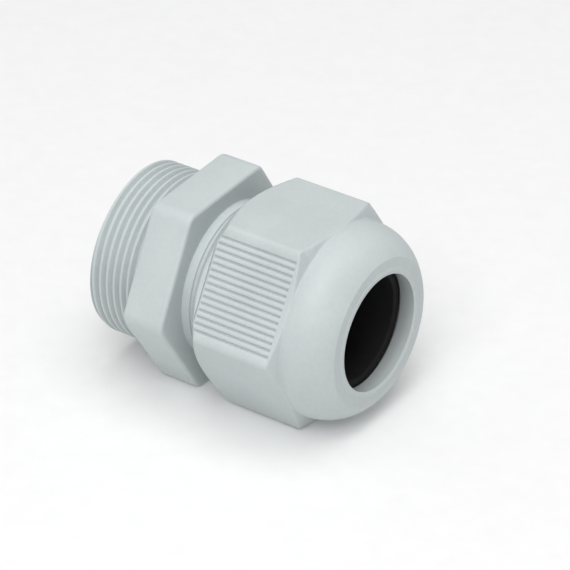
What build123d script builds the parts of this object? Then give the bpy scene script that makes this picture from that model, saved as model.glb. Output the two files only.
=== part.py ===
from build123d import *
from math import radians, sin, tan
import os

# Plastic cable gland with a metric M32 x 1.5 entry thread and 36 mm spanner flats.
# Millimetres and degrees. +X runs along the cable, out of the mouth. The origin is on the
# axis, in the plane of the seating face that meets the panel. +Z is square to one flat of
# the dome nut. The body's hexagon stands turned slightly from the nut's.

# Spanner flats, shared by the body's hexagon and the dome nut.
ACROSS_FLATS = 36.0
FLAT_RADIUS = ACROSS_FLATS / 2
SIDES = 6

# Entry thread, which passes through the panel.
ENTRY_RADIUS = 16.0
ENTRY_PITCH = 1.5
ENTRY_LENGTH = 10.8
ENTRY_THREAD_DEPTH = 0.92
ENTRY_CREST_FLAT = 0.28
ENTRY_ROOT_FLAT = ENTRY_PITCH / 8
ENTRY_CHAMFER = 0.4
ENTRY_RELIEF_RADIUS = 15.6
ENTRY_RELIEF_LENGTH = 1.3
ENTRY_RELIEF_RAMP = 0.2

# Body hexagon.
HEX_LENGTH = 8.4
HEX_TURN = 2.5
HEX_CORNER_ROUND = 2.5
HEX_EDGE_ROUND = 0.7

# Plain collar beside the hexagon, and the shallow undercut between it and the neck's thread.
# The nut's rear end comes down over the undercut.
COLLAR_RADIUS = 14.4
COLLAR_END = 10.0
COLLAR_CHAMFER = 0.2
UNDERCUT_RADIUS = 14.0
NECK_START = 11.5

# Clamping thread, between the body's neck and the nut.
CLAMP_PITCH = 2.0
THREAD_FLANK_ANGLE = 30
THREAD_AXIAL_PLAY = 0.12
NECK_CREST_RADIUS = 14.95
NECK_ROOT_RADIUS = 13.75
NECK_FOOT_RADIUS = 13.85
NECK_RUN_IN = 1.2
NECK_END = 24.0
NECK_CHAMFER = 0.9
NECK_GROOVE_ROOT_WIDTH = 0.35
NUT_MINOR_RADIUS = 14.1
NUT_MAJOR_RADIUS = 15.12
NUT_GROOVE_TURNS = 6.4

# Bores of the body.
CABLE_BORE_RADIUS = 11.0
CABLE_BORE_CHAMFER = 0.7
SEAL_BORE_RADIUS = 11.95
SEAL_BORE_START = 14.5
SEAL_BORE_RAMP = 0.5

# Clamping fingers around the front of the seal. They straighten as the nut is backed off.
FINGER_COUNT = 12
FINGER_SLOT = 1.0
FINGER_ROOT_GAP = 0.25
FINGER_START = NECK_END + FINGER_ROOT_GAP
FINGER_END = 32.6
FINGER_OUTER_RADIUS = 13.85
FINGER_ROOT_INNER_RADIUS = 12.0
FINGER_TIP_INNER_RADIUS = 12.8
FINGER_TIP_CHAMFER = 0.3
FINGER_HINGE_RADIUS = 13.0
FINGER_REST_TILT = 4.0

# Sealing insert.
SEAL_OUTER_RADIUS = 11.6
SEAL_INNER_RADIUS = 10.0
SEAL_START = 18.0
SEAL_END = 36.65
SEAL_EDGE_ROUND = 0.55

# Outside of the dome nut, as (x, radius) where two numbers are given. The cones at both
# ends of the hexagon cut its corners back.
NUT_START = 11.8
NUT_END_RADIUS = 16.1
NUT_CORNER_ROUND = 1.1
REAR_CONE_START = (12.15, 16.45)
REAR_CONE_END = (16.45, 21.8)
FRONT_CONE_START = (30.2, 21.8)
FRONT_CONE_END_X = 31.78
DOME_RADIUS = 17.96
DOME_ARC_START = 32.3
DOME_ARC_RADIUS = 9.4
FRONT_FACE_X = 40.1
MOUTH_X = 40.3
MOUTH_RADIUS = 10.75
BEAD_OUTER_RADIUS = 12.1
BEAD_CREST_RADIUS = 11.45

# Inside of the dome nut.
NUT_LEAD_RADIUS = 15.45
NUT_LEAD_END = 14.9
NUT_LEAD_RAMP = 0.6
NUT_LEAD_CHAMFER = 0.3
NUT_THREAD_END = 24.0
NUT_CONE_START = (24.55, 15.5)
NUT_CONE_END = (36.8, 12.86)
MOUTH_INNER_RADIUS = 11.2
MOUTH_EDGE_DEPTH = 0.2

# Grip ribs, sunk into every second flat of the nut.
RIB_COUNT = 14
RIB_PITCH = 1.2
RIB_DEPTH = 0.35
GROOVE_TOP_WIDTH = 0.64
GROOVE_FLOOR_WIDTH = 0.24
RIB_PANEL_START = 14.3
RIB_PANEL_GAP = 0.4
RIB_PANEL_END = 30.6
RIBBED_FLAT_ANGLES = (150, 30, 270)

# How far cutters and joined bars run past the surface that they meet. A thread cutter's is
# under half the thread's crest.
OVERRUN = 1.0
CUT_MARGIN = 0.6
THREAD_CUT_MARGIN = 0.15


def turned(points):
    """Solid of revolution about X, from an outline of (x, radius) points."""
    return revolve(make_face(Polyline(*points, close=True)), Axis.X)


def hex_prism(start, end, corner_round):
    """Hexagonal bar along X with corners on +Y and -Y and rounded corner edges."""
    outline = RegularPolygon(FLAT_RADIUS, SIDES, major_radius=False)
    outline = fillet(outline.vertices(), corner_round)
    return extrude(Plane.YZ.offset(start) * outline, end - start)


def helical_bar(root_radius, root_width, tip_radius, tip_width, pitch, start, end):
    """Trapezoid section swept along a right-hand helix about X.

    The root and tip are the section's two ends in radius, and the widths run along X.
    """
    path = Helix(pitch, end - start, root_radius, center=(start, 0, 0), direction=(1, 0, 0))
    origin = path @ 0
    outward = Vector(0, origin.Y, origin.Z).normalized()
    section_plane = Plane(origin=origin, x_dir=outward, z_dir=path % 0)
    depth = tip_radius - root_radius
    corners = [
        (0, -root_width / 2),
        (depth, -tip_width / 2),
        (depth, tip_width / 2),
        (0, root_width / 2),
    ]
    section = make_face(section_plane * Polyline(*corners, close=True))
    return sweep(section, path, is_frenet=True)


def clamp_groove(floor_radius, floor_width, open_radius, start, end):
    """Groove cutter of the clamping thread, opening at the flank angle from its floor."""
    open_width = floor_width + 2 * abs(open_radius - floor_radius) * tan(radians(THREAD_FLANK_ANGLE))
    return helical_bar(floor_radius, floor_width, open_radius, open_width, CLAMP_PITCH, start, end)


def threaded_bar(crest_radius, start, end, groove):
    """Round bar along X with a thread groove cut into it."""
    bar = turned([
        (start, 0),
        (start, crest_radius),
        (end, crest_radius),
        (end, 0),
    ])
    return bar - groove


def entry_thread():
    """Threaded spigot from the seating face back to the inside of the enclosure."""
    root_radius = ENTRY_RADIUS - ENTRY_THREAD_DEPTH
    over_radius = ENTRY_RADIUS + THREAD_CUT_MARGIN
    opening = (ENTRY_PITCH - ENTRY_CREST_FLAT - ENTRY_ROOT_FLAT) / ENTRY_THREAD_DEPTH
    over_width = ENTRY_ROOT_FLAT + opening * (over_radius - root_radius)
    groove = helical_bar(
        root_radius, ENTRY_ROOT_FLAT, over_radius, over_width,
        ENTRY_PITCH, -ENTRY_LENGTH - ENTRY_PITCH, -ENTRY_RELIEF_LENGTH + ENTRY_PITCH / 4,
    )
    envelope = turned([
        (-ENTRY_LENGTH, 0),
        (-ENTRY_LENGTH, ENTRY_RADIUS - ENTRY_CHAMFER),
        (-ENTRY_LENGTH + ENTRY_CHAMFER + CUT_MARGIN, ENTRY_RADIUS + CUT_MARGIN),
        (-ENTRY_RELIEF_LENGTH, ENTRY_RADIUS + CUT_MARGIN),
        (-ENTRY_RELIEF_LENGTH + ENTRY_RELIEF_RAMP, ENTRY_RELIEF_RADIUS),
        (OVERRUN, ENTRY_RELIEF_RADIUS),
        (OVERRUN, 0),
    ])
    return threaded_bar(ENTRY_RADIUS, -ENTRY_LENGTH - OVERRUN, OVERRUN, groove) & envelope


def body_hexagon():
    """Spanner hexagon with rounded corners and rounded end edges."""
    prism = hex_prism(0, HEX_LENGTH, HEX_CORNER_ROUND)
    end_faces = prism.faces().filter_by(Axis.X)
    return fillet(end_faces.edges(), HEX_EDGE_ROUND).rotate(Axis.X, HEX_TURN)


def neck():
    """Collar, undercut and clamping thread in front of the hexagon."""
    collar = turned([
        (HEX_LENGTH - OVERRUN, 0),
        (HEX_LENGTH - OVERRUN, COLLAR_RADIUS),
        (COLLAR_END - COLLAR_CHAMFER, COLLAR_RADIUS),
        (COLLAR_END, COLLAR_RADIUS - COLLAR_CHAMFER),
        (COLLAR_END, UNDERCUT_RADIUS),
        (NECK_START, UNDERCUT_RADIUS),
        (NECK_START, 0),
    ])
    groove = clamp_groove(
        NECK_ROOT_RADIUS, NECK_GROOVE_ROOT_WIDTH, NECK_CREST_RADIUS + THREAD_CUT_MARGIN,
        NECK_START - CLAMP_PITCH, NECK_END + CLAMP_PITCH,
    )
    envelope = turned([
        (HEX_LENGTH, 0),
        (HEX_LENGTH, NECK_FOOT_RADIUS),
        (NECK_START, NECK_FOOT_RADIUS),
        (NECK_START + NECK_RUN_IN, NECK_CREST_RADIUS + CUT_MARGIN),
        (NECK_END - NECK_CHAMFER - CUT_MARGIN, NECK_CREST_RADIUS + CUT_MARGIN),
        (NECK_END, NECK_CREST_RADIUS - NECK_CHAMFER),
        (NECK_END, 0),
    ])
    bar = threaded_bar(NECK_CREST_RADIUS, HEX_LENGTH - OVERRUN, NECK_END + OVERRUN, groove)
    return collar + (bar & envelope)


def gland_body():
    """Entry thread, hexagon and threaded neck in one moulding, bored for the cable."""
    bore = turned([
        (-ENTRY_LENGTH - OVERRUN, 0),
        (-ENTRY_LENGTH - OVERRUN, CABLE_BORE_RADIUS + CABLE_BORE_CHAMFER + OVERRUN),
        (-ENTRY_LENGTH, CABLE_BORE_RADIUS + CABLE_BORE_CHAMFER),
        (-ENTRY_LENGTH + CABLE_BORE_CHAMFER, CABLE_BORE_RADIUS),
        (SEAL_BORE_START, CABLE_BORE_RADIUS),
        (SEAL_BORE_START + SEAL_BORE_RAMP, SEAL_BORE_RADIUS),
        (NECK_END + OVERRUN, SEAL_BORE_RADIUS),
        (NECK_END + OVERRUN, 0),
    ])
    return entry_thread() + body_hexagon() + neck() - bore


def straight_finger_ring():
    """Ring that the fingers are parted from, as it stands with the nut backed off."""
    return turned([
        (FINGER_START, FINGER_ROOT_INNER_RADIUS),
        (FINGER_START, FINGER_OUTER_RADIUS),
        (FINGER_END - FINGER_TIP_CHAMFER, FINGER_OUTER_RADIUS),
        (FINGER_END, FINGER_OUTER_RADIUS - FINGER_TIP_CHAMFER),
        (FINGER_END, FINGER_TIP_INNER_RADIUS),
    ])


def finger_wedge():
    """Sector about +Z that one finger fills, half a slot short of each neighbour."""
    half_angle = radians(180 / FINGER_COUNT)
    apex = FINGER_SLOT / 2 / sin(half_angle)
    reach = FINGER_OUTER_RADIUS + OVERRUN
    corners = [
        (0, apex),
        (-reach * tan(half_angle), apex + reach),
        (reach * tan(half_angle), apex + reach),
    ]
    outline = Plane.YZ.offset(FINGER_START - OVERRUN) * Polyline(*corners, close=True)
    return extrude(make_face(outline), FINGER_END - FINGER_START + 2 * OVERRUN, dir=(1, 0, 0))


def clamping_fingers():
    """The fingers in order round the axis, tilted inward under the nut's cone."""
    straight = straight_finger_ring() & finger_wedge()
    hinge = Axis((FINGER_START, 0, FINGER_HINGE_RADIUS), (0, 1, 0))
    tilted = straight.rotate(hinge, FINGER_REST_TILT)
    return [tilted.rotate(Axis.X, 360 / FINGER_COUNT * index) for index in range(FINGER_COUNT)]


def sealing_insert():
    """Rubber sleeve that closes onto the cable, with rounded ends."""
    ring = turned([
        (SEAL_START, SEAL_INNER_RADIUS),
        (SEAL_START, SEAL_OUTER_RADIUS),
        (SEAL_END, SEAL_OUTER_RADIUS),
        (SEAL_END, SEAL_INNER_RADIUS),
    ])
    return fillet(ring.edges().filter_by(GeomType.CIRCLE), SEAL_EDGE_ROUND)


def nut_outside():
    """Hexagonal bar turned down to the cones, the dome, the flat front and the mouth's bead."""
    arc_centre_radius = DOME_RADIUS - DOME_ARC_RADIUS
    reach = FRONT_FACE_X - DOME_ARC_START
    arc_end_radius = arc_centre_radius + (DOME_ARC_RADIUS ** 2 - reach ** 2) ** 0.5
    rear = Polyline(
        (NUT_START, 0),
        (NUT_START, NUT_END_RADIUS),
        REAR_CONE_START,
        REAR_CONE_END,
        FRONT_CONE_START,
        (FRONT_CONE_END_X, DOME_RADIUS),
        (DOME_ARC_START, DOME_RADIUS),
    )
    nose = RadiusArc(rear @ 1, (FRONT_FACE_X, arc_end_radius), DOME_ARC_RADIUS)
    face = Line(nose @ 1, (FRONT_FACE_X, BEAD_OUTER_RADIUS))
    bead = ThreePointArc(face @ 1, (MOUTH_X, BEAD_CREST_RADIUS), (FRONT_FACE_X, MOUTH_RADIUS))
    closing = Polyline(bead @ 1, (FRONT_FACE_X, 0), (NUT_START, 0))
    envelope = revolve(make_face([rear, nose, face, bead, closing]), Axis.X)
    return hex_prism(NUT_START, MOUTH_X + OVERRUN, NUT_CORNER_ROUND) & envelope


def nut_cavity():
    """Everything inside the nut except its thread grooves."""
    return turned([
        (NUT_START - OVERRUN, 0),
        (NUT_START - OVERRUN, NUT_LEAD_RADIUS + NUT_LEAD_CHAMFER + OVERRUN),
        (NUT_START, NUT_LEAD_RADIUS + NUT_LEAD_CHAMFER),
        (NUT_START + NUT_LEAD_CHAMFER, NUT_LEAD_RADIUS),
        (NUT_LEAD_END, NUT_LEAD_RADIUS),
        (NUT_LEAD_END + NUT_LEAD_RAMP, NUT_MINOR_RADIUS),
        (NUT_THREAD_END, NUT_MINOR_RADIUS),
        NUT_CONE_START,
        NUT_CONE_END,
        (NUT_CONE_END[0], MOUTH_INNER_RADIUS),
        (FRONT_FACE_X - MOUTH_EDGE_DEPTH, MOUTH_RADIUS),
        (MOUTH_X + OVERRUN, MOUTH_RADIUS),
        (MOUTH_X + OVERRUN, 0),
    ])


def nut_thread_groove():
    """Cutter for the nut's thread, half a pitch out of step with the neck's groove."""
    flanks = 2 * tan(radians(THREAD_FLANK_ANGLE))
    ridge_top_width = NECK_GROOVE_ROOT_WIDTH + (NUT_MINOR_RADIUS - NECK_ROOT_RADIUS) * flanks
    ridge_top_width -= 2 * THREAD_AXIAL_PLAY
    floor_width = CLAMP_PITCH - ridge_top_width - (NUT_MAJOR_RADIUS - NUT_MINOR_RADIUS) * flanks
    first_turn = NECK_START + CLAMP_PITCH / 2
    return clamp_groove(
        NUT_MAJOR_RADIUS, floor_width, NUT_MINOR_RADIUS - THREAD_CUT_MARGIN,
        first_turn, first_turn + NUT_GROOVE_TURNS * CLAMP_PITCH,
    )


def rib_grooves():
    """Cutter for one flat's grip ribs, laid out on the flat that faces +Z."""
    slope = (GROOVE_TOP_WIDTH - GROOVE_FLOOR_WIDTH) / 2 / RIB_DEPTH
    over_width = GROOVE_TOP_WIDTH + 2 * slope * CUT_MARGIN
    floor = FLAT_RADIUS - RIB_DEPTH
    top = FLAT_RADIUS + CUT_MARGIN
    cutters = []
    for index in range(RIB_COUNT + 1):
        centre = (index - RIB_COUNT / 2) * RIB_PITCH
        corners = [
            (centre - GROOVE_FLOOR_WIDTH / 2, floor),
            (centre + GROOVE_FLOOR_WIDTH / 2, floor),
            (centre + over_width / 2, top),
            (centre - over_width / 2, top),
        ]
        outline = make_face(Plane.YZ.offset(RIB_PANEL_START) * Polyline(*corners, close=True))
        cutters.append(extrude(outline, RIB_PANEL_END - RIB_PANEL_START, dir=(1, 0, 0)))
    gap = Box(RIB_PANEL_GAP, RIB_COUNT * RIB_PITCH + GROOVE_FLOOR_WIDTH, top - floor)
    return Part() + cutters + Pos(RIB_PANEL_START + RIB_PANEL_GAP / 2, 0, (floor + top) / 2) * gap


def dome_nut():
    """Clamping nut: hexagon, dome, cavity, thread and grip ribs."""
    nut = nut_outside() - nut_cavity() - nut_thread_groove()
    cutter = rib_grooves()
    for angle in RIBBED_FLAT_ANGLES:
        nut = nut - cutter.rotate(Axis.X, angle - 90)
    return nut


def save(shape, node):
    export_step(shape, f"parts/{node}.step")


os.makedirs("parts", exist_ok=True)
save(gland_body(), "gland_body")
for number, finger in enumerate(clamping_fingers(), start=1):
    save(finger, f"clamping_finger_{number:02d}")
save(sealing_insert(), "sealing_insert")
save(dome_nut(), "dome_nut")
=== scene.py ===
from math import asin, cos, pi, radians, sin, tan

import bmesh
import bpy
import numpy as np
from mathutils import Matrix, Vector


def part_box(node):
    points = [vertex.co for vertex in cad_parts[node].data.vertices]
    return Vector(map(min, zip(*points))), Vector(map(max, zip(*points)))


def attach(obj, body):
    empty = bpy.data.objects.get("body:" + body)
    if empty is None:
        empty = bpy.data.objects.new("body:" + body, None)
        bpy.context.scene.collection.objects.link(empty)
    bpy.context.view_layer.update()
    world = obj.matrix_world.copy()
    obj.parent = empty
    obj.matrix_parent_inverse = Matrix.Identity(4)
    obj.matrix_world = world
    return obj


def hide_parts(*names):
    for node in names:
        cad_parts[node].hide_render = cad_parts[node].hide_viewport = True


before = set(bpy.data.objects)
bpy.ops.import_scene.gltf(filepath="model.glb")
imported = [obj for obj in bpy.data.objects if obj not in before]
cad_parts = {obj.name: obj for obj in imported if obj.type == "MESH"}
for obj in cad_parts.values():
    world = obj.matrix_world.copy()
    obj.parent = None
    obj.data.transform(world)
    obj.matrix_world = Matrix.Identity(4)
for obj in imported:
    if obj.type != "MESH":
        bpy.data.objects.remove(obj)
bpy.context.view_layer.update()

# A plastic cable gland lying on its side. +X runs out of its mouth, +Z is up.
MM = 0.001

# Where the main faces lie, from the frame.
BODY_LOW, BODY_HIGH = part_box("gland_body")
NUT_LOW, NUT_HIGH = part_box("dome_nut")
SEAL_LOW, SEAL_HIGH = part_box("sealing_insert")
FLAT = NUT_HIGH.z
FLOOR_Z = min(BODY_LOW.z, NUT_LOW.z)
THREAD_START = BODY_LOW.x
NECK_END = BODY_HIGH.x
NUT_START = NUT_LOW.x
MOUTH_X = NUT_HIGH.x

# Body: entry thread, on the -X side of the hexagon.
ENTRY_CREST = 16.0 * MM
ENTRY_CREST_WIDTH = 0.38 * MM
ENTRY_ROOT = 15.08 * MM
ENTRY_ROOT_WIDTH = 0.19 * MM
ENTRY_PITCH = 1.5 * MM
ENTRY_CHAMFER = 0.4 * MM
ENTRY_THREAD_END = -1.3 * MM
ENTRY_RELIEF = 15.6 * MM
ENTRY_RELIEF_RAMP = 0.25 * MM
ENTRY_RELIEF_FILLET = 0.15 * MM

# Body: hexagon and collar. The hexagon starts at X 0 and is turned by some degrees.
HEX_END = 8.4 * MM
HEX_CORNER = 2.53 * MM
HEX_EDGE = 0.7 * MM
HEX_TURN = 2.5
COLLAR = 14.4 * MM
COLLAR_END = 10.0 * MM
COLLAR_ROUND = 0.25 * MM
UNDERCUT = 14.0 * MM

# Body: neck, with the thread that the nut runs on.
NECK_START = 11.5 * MM
NECK_ROOT = 13.75 * MM
NECK_ROOT_WIDTH = 0.35 * MM
NECK_CREST = 14.95 * MM
NECK_CREST_WIDTH = 0.26 * MM
NECK_FOOT = 13.85 * MM
NECK_RUN_IN = 0.8 * MM
NECK_CHAMFER = 0.9 * MM
CLAMP_PITCH = 2.0 * MM
CLAMP_PHASE = NECK_START + CLAMP_PITCH / 2

# Body: bore.
CABLE_BORE = 11.0 * MM
CABLE_BORE_CHAMFER = 0.7 * MM
SEAL_BORE = 11.95 * MM
SEAL_BORE_START = 14.5 * MM
SEAL_BORE_RAMP = 0.5 * MM

# Dome nut: flats, coned at both ends. A slope is radius over length.
NUT_CORNER = 1.1 * MM
NUT_REAR_RADIUS = 15.98 * MM
NUT_REAR_EDGE = ((11.83, 16.08), (11.93, 16.22), (12.05, 16.36))
NUT_CONE_X, NUT_CONE_RADIUS = 12.15 * MM, 16.45 * MM
NUT_CONE_SLOPE = 1.244
NUT_CONE_BLEND = 0.3 * MM
NUT_MIDDLE = 20 * MM
FRONT_CONE_X, FRONT_CONE_RADIUS = 30.2 * MM, 21.8 * MM
FRONT_CONE_SLOPE = -2.43
FRONT_CONE_BLEND = 0.45 * MM

# Dome nut: dome, front face, and the bead round the mouth.
DOME_RADIUS = 17.96 * MM
DOME_ARC_START = 32.3 * MM
DOME_ARC_RADIUS = 9.4 * MM
FRONT_FACE_X = 40.1 * MM
FRONT_CORNER_ROUND = 0.35 * MM
BEAD_OUTER = 12.1 * MM
MOUTH = 10.75 * MM
MOUTH_INNER = 11.2 * MM

# Dome nut: inside.
SHOULDER_X, SHOULDER_RADIUS = 36.8 * MM, 12.86 * MM
CAVITY_X, CAVITY_RADIUS = 24.55 * MM, 15.5 * MM
NUT_MINOR, NUT_MAJOR = 14.1 * MM, 15.12 * MM
NUT_RIDGE_WIDTH, NUT_GROOVE_WIDTH = 0.51 * MM, 0.31 * MM
NUT_THREAD_START, NUT_THREAD_END = 15.5 * MM, 24.0 * MM
NUT_LEAD = 15.45 * MM
NUT_LEAD_CHAMFER = 0.3 * MM
NUT_LEAD_END = 14.9 * MM

# Grip ribs on every second flat, sunk below the flat.
RIBS = 14
RIB_PITCH = 1.2 * MM
RIB_DEPTH = 0.35 * MM
GROOVE_TOP = 0.64 * MM
GROOVE_FLOOR = 0.24 * MM
PANEL_START = 14.3 * MM
PANEL_GAP = 0.4 * MM
PANEL_END = 30.6 * MM
RIBBED_FLATS = (1, 3, 5)

# Sealing insert.
SEAL_OUTER = SEAL_HIGH.z
SEAL_INNER = 10.0 * MM
SEAL_ROUND = 0.55 * MM

# Mesh: columns along each flat and round each corner, and rows where a shape needs them.
# Tuples and ranges are in millimetres.
BODY_FLAT_STEPS, BODY_CORNER_STEPS = 14, 9
NUT_FLAT_STEPS, NUT_CORNER_STEPS = 16, 10
EDGE_SUPPORT = 0.15 * MM
GROOVE_OFFSETS = (0.33, 0.28, 0.22, 0.16, 0.1)
NUT_REAR_ROWS = np.arange(12.15, 16.3, 0.15)
NUT_PANEL_START_ROWS = (14.28, 14.31, 14.34, 14.62, 14.69, 14.72, 14.8)
NUT_MIDDLE_ROWS = (18, 22, 26)
NUT_PANEL_END_ROWS = (29.6, 30.4, 30.56, 30.59)
NUT_FRONT_ROWS = np.arange(30.62, 32.3, 0.06)
DOME_ROWS, BEAD_ROWS, EDGE_ROWS = 22, 10, 6
HEX_FACE_INSETS = (0.25, 0.5, 0.8)
COLLAR_OUTSETS = (0.9, 0.55, 0.3, 0.15)
THREAD_ROWS, NUT_THREAD_ROWS = 24, 8
SEAL_COLUMNS, SEAL_CORNER_STEPS = 144, 8
SHARP_ANGLE = 38
WELD = 0.0005 * MM

# Points of a thread this close to its end lie on the end itself.
SEAM = 0.01 * MM

# How a thread's crest and root run into its flanks, as shares of the pitch and of the depth.
EASE = 0.04
CREST_EASE, ROOT_EASE, EDGE_EASE = 0.12, 0.1, 0.01

# Studio: strength of the world's light, and each light's place, size and power.
WORLD_STRENGTH = 0.40
LIGHTS_AIM = (0.015, 0, 0)
KEY_LIGHT = ((0.20, -0.54, 0.72), 0.6, 4.0)
OVERHEAD_LIGHT = ((0.12, 0.02, 0.92), 0.8, 3.9)
FLOOR_HALF = 6.0

# Camera: viewing angle, distance, and how far it is moved across its own picture.
AZIMUTH, ELEVATION = radians(35.2), radians(31.7)
CAMERA_DISTANCE = 647.6 * MM
CAMERA_RIGHT, CAMERA_UP = 16.52 * MM, -3.89 * MM
LENS, SENSOR = 230.7, 36


# ---------------------------------------------------------------- outlines

def hexagon_columns(corner_round, flat_places, corner_steps, turn_by=0.0):
    """Points round a hexagon with rounded corners, with their outward normals.

    flat_places(flat, half_width) gives the distances from a flat's middle that get a column.
    Returns points (n, 2), normals (n, 2), distances from the middle of the flat (n,), and
    the numbers of the flats (n,), which are -1 on a corner.
    """
    half_width = (FLAT - corner_round) * tan(radians(30))
    points, normals, places, flats = [], [], [], []
    for flat in range(6):
        angle = radians(90 + 60 * flat + turn_by)
        normal = np.array([cos(angle), sin(angle)])
        along = np.array([-sin(angle), cos(angle)])
        for place in flat_places(flat, half_width):
            points.append(normal * FLAT + along * place)
            normals.append(normal)
            places.append(place)
            flats.append(flat)
        centre = normal * (FLAT - corner_round) + along * half_width
        for step in range(1, corner_steps):
            turn = angle + radians(60) * step / corner_steps
            direction = np.array([cos(turn), sin(turn)])
            points.append(centre + direction * corner_round)
            normals.append(direction)
            places.append(0.0)
            flats.append(-1)
    return np.array(points), np.array(normals), np.array(places), np.array(flats)


def even_places(half_width, steps):
    """Places along a plain flat: even, with one more close to each edge."""
    inner = half_width - EDGE_SUPPORT
    return np.concatenate([[-half_width], np.linspace(-inner, inner, steps), [half_width]])


def body_flat_places(flat, half_width):
    """Places along a flat of the body's hexagon. All six flats are alike."""
    return even_places(half_width, BODY_FLAT_STEPS)


def nut_flat_places(flat, half_width):
    """Places along a flat of the nut: even on a plain one, at the grooves' edges on a ribbed one."""
    if flat not in RIBBED_FLATS:
        return even_places(half_width, NUT_FLAT_STEPS)
    places = [-half_width, half_width]
    for groove in range(RIBS + 1):
        centre = (groove - RIBS / 2) * RIB_PITCH
        for offset in GROOVE_OFFSETS:
            places += [centre - offset * MM, centre + offset * MM]
    for rib in range(RIBS):
        places.append((rib - (RIBS - 1) / 2) * RIB_PITCH)
    places = np.array(sorted(places))
    return places[np.abs(places) <= half_width]


def rib_depth(x, places, flats):
    """How far the surface of the nut's flats lies below the plain flat at this x."""
    in_panel = np.isin(flats, RIBBED_FLATS) & (PANEL_START < x < PANEL_END)
    if not in_panel.any():
        return np.zeros(len(places))

    # Distance from the middle of the nearest groove. The gap behind the ribs is one wide groove.
    offset = (places / RIB_PITCH + RIBS / 2) % 1.0
    offset = np.minimum(offset, 1 - offset) * RIB_PITCH
    if x < PANEL_START + PANEL_GAP:
        offset = np.zeros(len(places))
    past_last = np.abs(places) - RIBS / 2 * RIB_PITCH
    offset = np.where(past_last > 0, past_last, offset)

    wall = np.clip((GROOVE_TOP / 2 - offset) / ((GROOVE_TOP - GROOVE_FLOOR) / 2), 0, 1)
    wall = wall * wall * (3 - 2 * wall)
    return np.where(in_panel, wall * RIB_DEPTH, 0)


def soft_limit(radius, limit, blend):
    """The smaller of two radii, with the edge between them rounded."""
    near = np.clip(blend - np.abs(radius - limit), 0, None) / blend
    return np.minimum(radius, limit) - near * near * blend / 4


def rounded_edge():
    """Rounding of an outer edge: (share along the first side, share along the second)."""
    return [(sin(turn), 1 - cos(turn)) for turn in np.linspace(0, pi / 2, EDGE_ROWS)]


# ---------------------------------------------------------------- meshes

class Loft:
    """Rows of points round the X axis, one point per column, joined into a surface."""

    def __init__(self, points, normals):
        self.points = points
        self.normals = normals
        angle = np.arctan2(points[:, 1], points[:, 0])
        self.spokes = np.column_stack([np.cos(angle), np.sin(angle)])
        self.angle = angle % (2 * pi)
        self.rows = []

    def ring(self, x, radius):
        """A round row. radius is one number, or one for each column."""
        radius = np.broadcast_to(radius, len(self.spokes))
        self.rows.append(np.column_stack([np.full(len(radius), x), self.spokes * radius[:, None]]))

    def flats(self, x, inset=0.0, limit=None, blend=0.0):
        """A row on the hexagon, moved in by inset along the normals and kept inside a radius."""
        inset = np.broadcast_to(inset, len(self.points))
        flat = self.points - self.normals * inset[:, None]
        if limit is not None:
            radius = np.linalg.norm(flat, axis=1)
            flat = flat * (soft_limit(radius, limit, blend) / radius)[:, None]
        self.rows.append(np.column_stack([np.full(len(flat), x), flat]))

    def block(self, closed=False):
        """Vertices and faces of the rows so far, which start anew.

        If closed, the last row joins the first one again.
        """
        count = len(self.points)
        vertices = np.vstack(self.rows)
        rows = len(self.rows)
        faces = []
        for row in range(rows if closed else rows - 1):
            after = (row + 1) % rows
            for column in range(count):
                beside = (column + 1) % count
                faces.append((row * count + column, row * count + beside,
                              after * count + beside, after * count + column))
        self.rows = []
        return vertices, faces


def joined(blocks):
    """Several (vertices, faces) blocks as one."""
    vertices, faces = [], []
    offset = 0
    for block_vertices, block_faces in blocks:
        vertices.append(block_vertices)
        faces += [tuple(index + offset for index in face) for face in block_faces]
        offset += len(block_vertices)
    return np.vstack(vertices), faces


def mesh_object(name, vertices, faces):
    """A mesh piece with doubles welded, normals outward and sharp edges marked."""
    mesh = bpy.data.meshes.new(name)
    mesh.from_pydata([tuple(v) for v in vertices], [], faces)
    work = bmesh.new()
    work.from_mesh(mesh)
    bmesh.ops.remove_doubles(work, verts=work.verts, dist=WELD)
    bmesh.ops.dissolve_degenerate(work, edges=work.edges, dist=WELD)
    bmesh.ops.recalc_face_normals(work, faces=work.faces)
    work.to_mesh(mesh)
    work.free()
    mesh.polygons.foreach_set("use_smooth", [True] * len(mesh.polygons))
    mesh.set_sharp_from_angle(angle=radians(SHARP_ANGLE))
    piece = bpy.data.objects.new(name, mesh)
    bpy.context.scene.collection.objects.link(piece)
    return piece


# ---------------------------------------------------------------- threads

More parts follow.
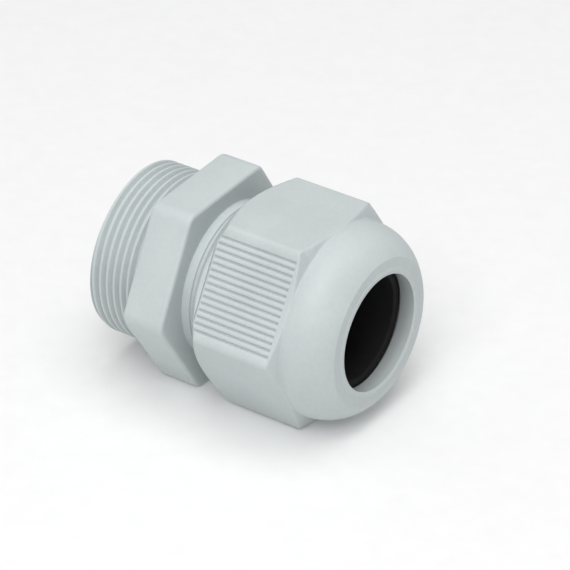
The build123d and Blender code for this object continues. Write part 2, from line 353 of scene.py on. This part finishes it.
class Thread:
    """A right-hand thread about X.

    Its profile is the radius over one pitch, as (share of the pitch, radius). At angle 0 the
    middle of a crest lies at X = phase. The envelope, as (x, radius), cuts the thread down.
    """

    def __init__(self, pitch, root, crest, root_width, crest_width, envelope, phase=0.0):
        self.pitch = pitch
        self.envelope = envelope
        self.phase = phase
        half_crest = crest_width / 2 / pitch
        half_root = root_width / 2 / pitch
        depth = crest - root
        one_side = [
            (0.0, crest),
            (half_crest, crest - depth * EDGE_EASE),
            (half_crest + EASE, crest - depth * CREST_EASE),
            (0.5 - half_root - EASE, root + depth * ROOT_EASE),
            (0.5 - half_root, root + depth * EDGE_EASE),
            (0.5, root),
        ]
        other_side = [(1 - share, radius) for share, radius in reversed(one_side[:-1])]
        self.profile = one_side + other_side

    def radius(self, x, angle):
        """The thread's radius at a place along X and round it."""
        turn = ((x - self.phase) / self.pitch - angle / (2 * pi)) % 1.0
        limit = np.interp(x, *zip(*self.envelope))
        return np.minimum(np.interp(turn, *zip(*self.profile)), limit)

    def ring(self, loft, x):
        """Gives the loft a row that meets the thread's start or end."""
        loft.ring(x, self.radius(np.full(len(loft.angle), x), loft.angle))

    def block(self, loft, start, end, rows_per_pitch):
        """Vertices and faces of the thread between two such rows, on the loft's columns."""
        first = -rows_per_pitch
        last = int((end - start) / self.pitch * rows_per_pitch) + 2
        order = np.argsort(loft.angle)
        angle = np.append(loft.angle[order], loft.angle[order][0] + 2 * pi)
        spokes = np.vstack([loft.spokes[order], loft.spokes[order][:1]])
        vertices = []
        for row in range(first, last + 1):
            x = start + (row / rows_per_pitch) * self.pitch + (angle / (2 * pi)) * self.pitch
            x = np.where(x < start + SEAM, start, np.where(x > end - SEAM, end, x))
            vertices.append(np.column_stack([x, spokes * self.radius(x, angle)[:, None]]))
        faces = []
        width = len(angle)
        for row in range(last - first):
            for column in range(width - 1):
                base = row * width + column
                faces.append((base, base + 1, base + width + 1, base + width))
        return np.vstack(vertices), faces


# ---------------------------------------------------------------- dome nut

def nut_rear(nut, thread):
    """From the thread's start out to the rear face and its rounded outer edge."""
    thread.ring(nut, NUT_THREAD_START)
    nut.ring(NUT_LEAD_END, NUT_LEAD)
    nut.ring(NUT_START + NUT_LEAD_CHAMFER, NUT_LEAD)
    nut.ring(NUT_START, NUT_LEAD + NUT_LEAD_CHAMFER)
    nut.ring(NUT_START, NUT_REAR_RADIUS)
    for x, radius in NUT_REAR_EDGE:
        nut.ring(x * MM, radius * MM)


def nut_flats(nut, places, flats):
    """Flats with their ribs, coned at both ends, and the foot of the dome."""
    rows = [*NUT_REAR_ROWS, *NUT_PANEL_START_ROWS, *NUT_MIDDLE_ROWS, *NUT_PANEL_END_ROWS, *NUT_FRONT_ROWS]
    for row in sorted(rows):
        x = row * MM
        if x < NUT_MIDDLE:
            blend = NUT_CONE_BLEND
            limit = NUT_CONE_RADIUS + NUT_CONE_SLOPE * (x - NUT_CONE_X)
        else:
            # The larger of the cone and the dome's foot, with the edge between them rounded.
            blend = FRONT_CONE_BLEND
            cone = FRONT_CONE_RADIUS + FRONT_CONE_SLOPE * (x - FRONT_CONE_X)
            limit = 2 * DOME_RADIUS - soft_limit(2 * DOME_RADIUS - cone, DOME_RADIUS, blend)
        nut.flats(x, rib_depth(x, places, flats), limit, blend)


def nut_dome(nut):
    """Dome, and the rounded corner between it and the flat front."""
    centre_radius = DOME_RADIUS - DOME_ARC_RADIUS
    reach = DOME_ARC_RADIUS - FRONT_CORNER_ROUND
    corner_x = FRONT_FACE_X - FRONT_CORNER_ROUND
    end_turn = asin((corner_x - DOME_ARC_START) / reach)
    for turn in np.linspace(0.02, end_turn, DOME_ROWS):
        nut.ring(DOME_ARC_START + DOME_ARC_RADIUS * sin(turn), centre_radius + DOME_ARC_RADIUS * cos(turn))
    corner_radius = centre_radius + reach * cos(end_turn)
    for turn in np.linspace(end_turn, pi / 2, EDGE_ROWS)[1:]:
        nut.ring(corner_x + FRONT_CORNER_ROUND * sin(turn), corner_radius + FRONT_CORNER_ROUND * cos(turn))


def nut_mouth(nut):
    """The bead on the flat front, with a small fillet at its foot, and the mouth behind it."""
    nut.ring(FRONT_FACE_X, BEAD_OUTER + 0.25 * MM)
    nut.ring(FRONT_FACE_X + 0.01 * MM, BEAD_OUTER + 0.08 * MM)
    for share in np.linspace(0.06, 1, BEAD_ROWS):
        x = FRONT_FACE_X + (MOUTH_X - FRONT_FACE_X) * sin(pi * share)
        nut.ring(x, BEAD_OUTER + (MOUTH - BEAD_OUTER) * share)
    nut.ring(FRONT_FACE_X - 0.15 * MM, MOUTH + 0.01 * MM)
    nut.ring(SHOULDER_X + 0.2 * MM, MOUTH_INNER - 0.02 * MM)
    nut.ring(SHOULDER_X, MOUTH_INNER + 0.15 * MM)


def make_nut():
    """The dome nut as one closed shell, with its grip ribs, dome, mouth, cavity and thread."""
    points, normals, places, flats = hexagon_columns(NUT_CORNER, nut_flat_places, NUT_CORNER_STEPS)
    nut = Loft(points, normals)
    envelope = [(NUT_THREAD_START, NUT_MAJOR), (NUT_THREAD_END, NUT_MAJOR)]
    thread = Thread(
        CLAMP_PITCH, NUT_MINOR, NUT_MAJOR, NUT_RIDGE_WIDTH, NUT_GROOVE_WIDTH, envelope, CLAMP_PHASE,
    )
    nut_rear(nut, thread)
    nut_flats(nut, places, flats)
    nut_dome(nut)
    nut_mouth(nut)
    nut.ring(SHOULDER_X, SHOULDER_RADIUS)
    nut.ring(CAVITY_X, CAVITY_RADIUS)
    thread.ring(nut, NUT_THREAD_END)
    shell = nut.block()
    thread_block = thread.block(nut, NUT_THREAD_START, NUT_THREAD_END, NUT_THREAD_ROWS)
    return mesh_object("nut_shell", *joined([shell, thread_block]))


# ---------------------------------------------------------------- gland body

def body_inside(body, entry, clamp):
    """The neck's end face, the bore, and the end face of the entry thread."""
    clamp.ring(body, NECK_END)
    body.ring(NECK_END, SEAL_BORE)
    body.ring(SEAL_BORE_START + SEAL_BORE_RAMP, SEAL_BORE)
    body.ring(SEAL_BORE_START, CABLE_BORE)
    body.ring(THREAD_START + CABLE_BORE_CHAMFER, CABLE_BORE)
    body.ring(THREAD_START, CABLE_BORE + CABLE_BORE_CHAMFER)
    entry.ring(body, THREAD_START)


def body_hexagon(body):
    """The relief behind the entry thread, and the hexagon up to the collar's foot."""
    body.ring(ENTRY_THREAD_END + ENTRY_RELIEF_RAMP, ENTRY_RELIEF)
    body.ring(-ENTRY_RELIEF_FILLET, ENTRY_RELIEF)
    body.ring(0.0, ENTRY_RELIEF + ENTRY_RELIEF_FILLET)
    for across, down in reversed(rounded_edge()):
        body.flats(HEX_EDGE * (1 - across), HEX_EDGE * down)
    for across, down in rounded_edge():
        body.flats(HEX_END - HEX_EDGE * (1 - across), HEX_EDGE * down)
    for inset in HEX_FACE_INSETS:
        body.flats(HEX_END, HEX_EDGE + inset * MM)
    for outset in COLLAR_OUTSETS:
        body.ring(HEX_END, COLLAR + outset * MM)


def body_collar(body):
    """The collar, with a small fillet at its foot and a rounded edge, and the undercut."""
    body.ring(HEX_END + 0.05 * MM, COLLAR + 0.06 * MM)
    body.ring(HEX_END + 0.2 * MM, COLLAR)
    for across, down in rounded_edge():
        body.ring(COLLAR_END - COLLAR_ROUND * (1 - across), COLLAR - COLLAR_ROUND * down)
    body.ring(COLLAR_END, UNDERCUT + 0.1 * MM)
    body.ring(COLLAR_END + 0.1 * MM, UNDERCUT)
    body.ring(NECK_START, UNDERCUT)


def make_body():
    """The gland body: entry thread, hexagon, collar, neck thread and bore."""
    points, normals, _, _ = hexagon_columns(HEX_CORNER, body_flat_places, BODY_CORNER_STEPS, HEX_TURN)
    body = Loft(points, normals)
    entry = Thread(ENTRY_PITCH, ENTRY_ROOT, ENTRY_CREST, ENTRY_ROOT_WIDTH, ENTRY_CREST_WIDTH, [
        (THREAD_START, ENTRY_CREST - ENTRY_CHAMFER),
        (THREAD_START + ENTRY_CHAMFER, ENTRY_CREST),
        (ENTRY_THREAD_END, ENTRY_CREST),
    ])
    clamp = Thread(CLAMP_PITCH, NECK_ROOT, NECK_CREST, NECK_ROOT_WIDTH, NECK_CREST_WIDTH, [
        (NECK_START, NECK_FOOT),
        (NECK_START + NECK_RUN_IN, NECK_CREST),
        (NECK_END - NECK_CHAMFER, NECK_CREST),
        (NECK_END, NECK_CREST - NECK_CHAMFER),
    ], CLAMP_PHASE)

    body_inside(body, entry, clamp)
    inside = body.block()
    entry.ring(body, ENTRY_THREAD_END)
    body_hexagon(body)
    body_collar(body)
    clamp.ring(body, NECK_START)
    outside = body.block()
    entry_block = entry.block(body, THREAD_START, ENTRY_THREAD_END, THREAD_ROWS)
    clamp_block = clamp.block(body, NECK_START, NECK_END, THREAD_ROWS)
    return mesh_object("body_moulding", *joined([inside, outside, entry_block, clamp_block]))


# ---------------------------------------------------------------- sealing insert

def make_seal():
    """Rubber sleeve with rounded ends."""
    angles = np.linspace(0, 2 * pi, SEAL_COLUMNS, endpoint=False)
    circle = np.column_stack([np.cos(angles), np.sin(angles)])
    seal = Loft(circle, circle)
    front, rear = SEAL_HIGH.x - SEAL_ROUND, SEAL_LOW.x + SEAL_ROUND
    outer, inner = SEAL_OUTER - SEAL_ROUND, SEAL_INNER + SEAL_ROUND
    for x, radius, start in ((front, outer, 0), (front, inner, 90), (rear, inner, 180), (rear, outer, 270)):
        for step in range(SEAL_CORNER_STEPS + 1):
            turn = radians(start + 90 * step / SEAL_CORNER_STEPS)
            seal.ring(x + SEAL_ROUND * sin(turn), radius + SEAL_ROUND * cos(turn))
    return mesh_object("seal_sleeve", *seal.block(closed=True))


# ---------------------------------------------------------------- materials

def grey(value):
    return (value, value, value)


class Material:
    """A Principled material, and short ways to build its nodes."""

    def __init__(self, name):
        self.data = bpy.data.materials.new(name)
        self.data.use_nodes = True
        self.nodes, self.links = self.data.node_tree.nodes, self.data.node_tree.links
        self.shader = self.nodes["Principled BSDF"]
        self.coordinates = self.nodes.new("ShaderNodeTexCoord")

    def noise(self, scale, detail, roughness=0.5):
        texture = self.nodes.new("ShaderNodeTexNoise")
        texture.inputs["Scale"].default_value = scale
        texture.inputs["Detail"].default_value = detail
        texture.inputs["Roughness"].default_value = roughness
        self.links.new(self.coordinates.outputs["Object"], texture.inputs["Vector"])
        return texture.outputs["Fac"]

    def ramp(self, source, low, high, low_colour, high_colour):
        """A colour that runs from one to the other as the source goes from low to high."""
        node = self.nodes.new("ShaderNodeValToRGB")
        node.color_ramp.elements[0].position = low
        node.color_ramp.elements[1].position = high
        node.color_ramp.elements[0].color = (*low_colour, 1)
        node.color_ramp.elements[1].color = (*high_colour, 1)
        self.links.new(source, node.inputs["Fac"])
        return node.outputs["Color"]

    def multiply(self, first, second, factor):
        mix = self.nodes.new("ShaderNodeMix")
        mix.data_type = "RGBA"
        mix.blend_type = "MULTIPLY"
        mix.inputs["Factor"].default_value = factor
        self.links.new(first, mix.inputs["A"])
        self.links.new(second, mix.inputs["B"])
        return mix.outputs["Result"]

    def feed(self, socket, source):
        """Links a node's output to a socket of the shader."""
        self.links.new(source, self.shader.inputs[socket])

    def fix(self, socket, value):
        """Gives a socket of the shader one value all over."""
        self.shader.inputs[socket].default_value = value

    def bump(self, height, strength, distance):
        node = self.nodes.new("ShaderNodeBump")
        node.inputs["Strength"].default_value = strength
        node.inputs["Distance"].default_value = distance
        self.links.new(height, node.inputs["Height"])
        self.feed("Normal", node.outputs["Normal"])


def moulded_plastic(name, colour):
    """Satin polyamide: faint cloudiness, fine spark-eroded grain, convex edges painted paler as highlight and
    concave creases painted darker as shade.
    """
    plastic = Material(name)
    cloud = plastic.noise(scale=90, detail=4)
    speck = plastic.noise(scale=1400, detail=2)
    darker = tuple(c * 0.955 for c in colour)
    lighter = tuple(min(c * 1.03, 1) for c in colour)
    cloudy = plastic.ramp(cloud, 0.3, 0.7, darker, lighter)
    specks = plastic.ramp(speck, 0.35, 0.65, grey(0.97), grey(1.0))
    surface = plastic.multiply(cloudy, specks, factor=1.0)

    # Painted light: convex edges are painted a little paler as a highlight, concave creases a little darker
    # as shade.
    pointiness = plastic.nodes.new("ShaderNodeNewGeometry").outputs["Pointiness"]
    edge_highlight_and_crease_shade = plastic.ramp(pointiness, 0.46, 0.56, grey(0.9), grey(1.06))
    plastic.feed("Base Color", plastic.multiply(surface, edge_highlight_and_crease_shade, factor=0.6))

    plastic.feed("Roughness", plastic.ramp(cloud, 0.3, 0.75, grey(0.42), grey(0.54)))
    plastic.bump(plastic.noise(scale=2600, detail=2, roughness=0.6), strength=0.16, distance=0.03 * MM)
    plastic.fix("Specular IOR Level", 0.42)
    plastic.fix("Subsurface Weight", 0.06)
    plastic.fix("Subsurface Radius", (0.9 * MM, 0.9 * MM, 0.8 * MM))
    plastic.fix("Subsurface Scale", 1.0)
    return plastic.data


def moulded_rubber(name):
    """Matt black rubber with a faint bloom and fine grain."""
    rubber = Material(name)
    bloom = rubber.noise(scale=160, detail=4)
    rubber.feed("Base Color", rubber.ramp(bloom, 0.35, 0.75, grey(0.006), grey(0.012)))
    rubber.feed("Roughness", rubber.ramp(bloom, 0.3, 0.7, grey(0.62), grey(0.78)))
    rubber.bump(rubber.noise(scale=2200, detail=3, roughness=0.6), strength=0.3, distance=0.04 * MM)
    rubber.fix("Specular IOR Level", 0.3)
    return rubber.data


def floor_paper(name):
    """Seamless white studio paper."""
    paper = Material(name)
    fibre = paper.noise(scale=300, detail=3)
    paper.feed("Base Color", paper.ramp(fibre, 0.3, 0.7, grey(0.78), grey(0.80)))
    paper.fix("Roughness", 0.9)
    paper.fix("Specular IOR Level", 0.1)
    paper.fix("Emission Color", (1, 1, 1, 1))
    paper.fix("Emission Strength", 0.1)
    return paper.data


def paint(piece, material):
    piece.data.materials.clear()
    piece.data.materials.append(material)


# ---------------------------------------------------------------- the gland

polyamide = moulded_plastic("light_grey_polyamide", (0.55, 0.60, 0.604))
rubber = moulded_rubber("black_rubber")

nut_shell = make_nut()
paint(nut_shell, polyamide)
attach(nut_shell, "dome_nut")
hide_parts("dome_nut")

body_moulding = make_body()
paint(body_moulding, polyamide)
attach(body_moulding, "gland_body")
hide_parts("gland_body")

seal_sleeve = make_seal()
paint(seal_sleeve, rubber)
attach(seal_sleeve, "sealing_insert")
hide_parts("sealing_insert")

for node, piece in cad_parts.items():
    if node.startswith("clamping_finger"):
        for slot in piece.material_slots:
            slot.material = polyamide


# ---------------------------------------------------------------- studio

def make_floor():
    """Large sheet of paper under the gland."""
    half = FLOOR_HALF
    mesh = bpy.data.meshes.new("floor")
    corners = [(-half, -half, FLOOR_Z), (half, -half, FLOOR_Z), (half, half, FLOOR_Z), (-half, half, FLOOR_Z)]
    mesh.from_pydata(corners, [], [(0, 1, 2, 3)])
    floor = bpy.data.objects.new("floor", mesh)
    bpy.context.scene.collection.objects.link(floor)
    paint(floor, floor_paper("studio_paper"))


def area_light(name, place, size, power):
    """A round light aimed at the gland."""
    data = bpy.data.lights.new(name, "AREA")
    data.shape = "DISK"
    data.size = size
    data.energy = power
    light = bpy.data.objects.new(name, data)
    light.location = place
    light.rotation_euler = (Vector(LIGHTS_AIM) - Vector(place)).to_track_quat("-Z", "Y").to_euler()
    bpy.context.scene.collection.objects.link(light)


def make_world():
    """Even white light from all round."""
    world = bpy.data.worlds.new("studio")
    world.use_nodes = True
    background = world.node_tree.nodes["Background"]
    background.inputs["Color"].default_value = (1, 1, 1, 1)
    background.inputs["Strength"].default_value = WORLD_STRENGTH
    bpy.context.scene.world = world


def make_camera():
    """Long lens, looking down at the gland from its mouth's side."""
    back = Vector((sin(AZIMUTH) * cos(ELEVATION), -cos(AZIMUTH) * cos(ELEVATION), sin(ELEVATION)))
    right = Vector((cos(AZIMUTH), sin(AZIMUTH), 0))
    up = back.cross(right)
    data = bpy.data.cameras.new("camera")
    data.lens = LENS
    data.sensor_width = SENSOR
    data.clip_start, data.clip_end = 0.01, 50
    camera = bpy.data.objects.new("camera", data)
    rotation = Matrix((right, up, back)).transposed()
    place = right * CAMERA_RIGHT + up * CAMERA_UP + back * CAMERA_DISTANCE
    camera.matrix_world = Matrix.Translation(place) @ rotation.to_4x4()
    bpy.context.scene.collection.objects.link(camera)
    bpy.context.scene.camera = camera


make_floor()
make_world()
area_light("key", *KEY_LIGHT)
area_light("overhead", *OVERHEAD_LIGHT)
make_camera()
bpy.context.scene.view_settings.view_transform = "Standard"
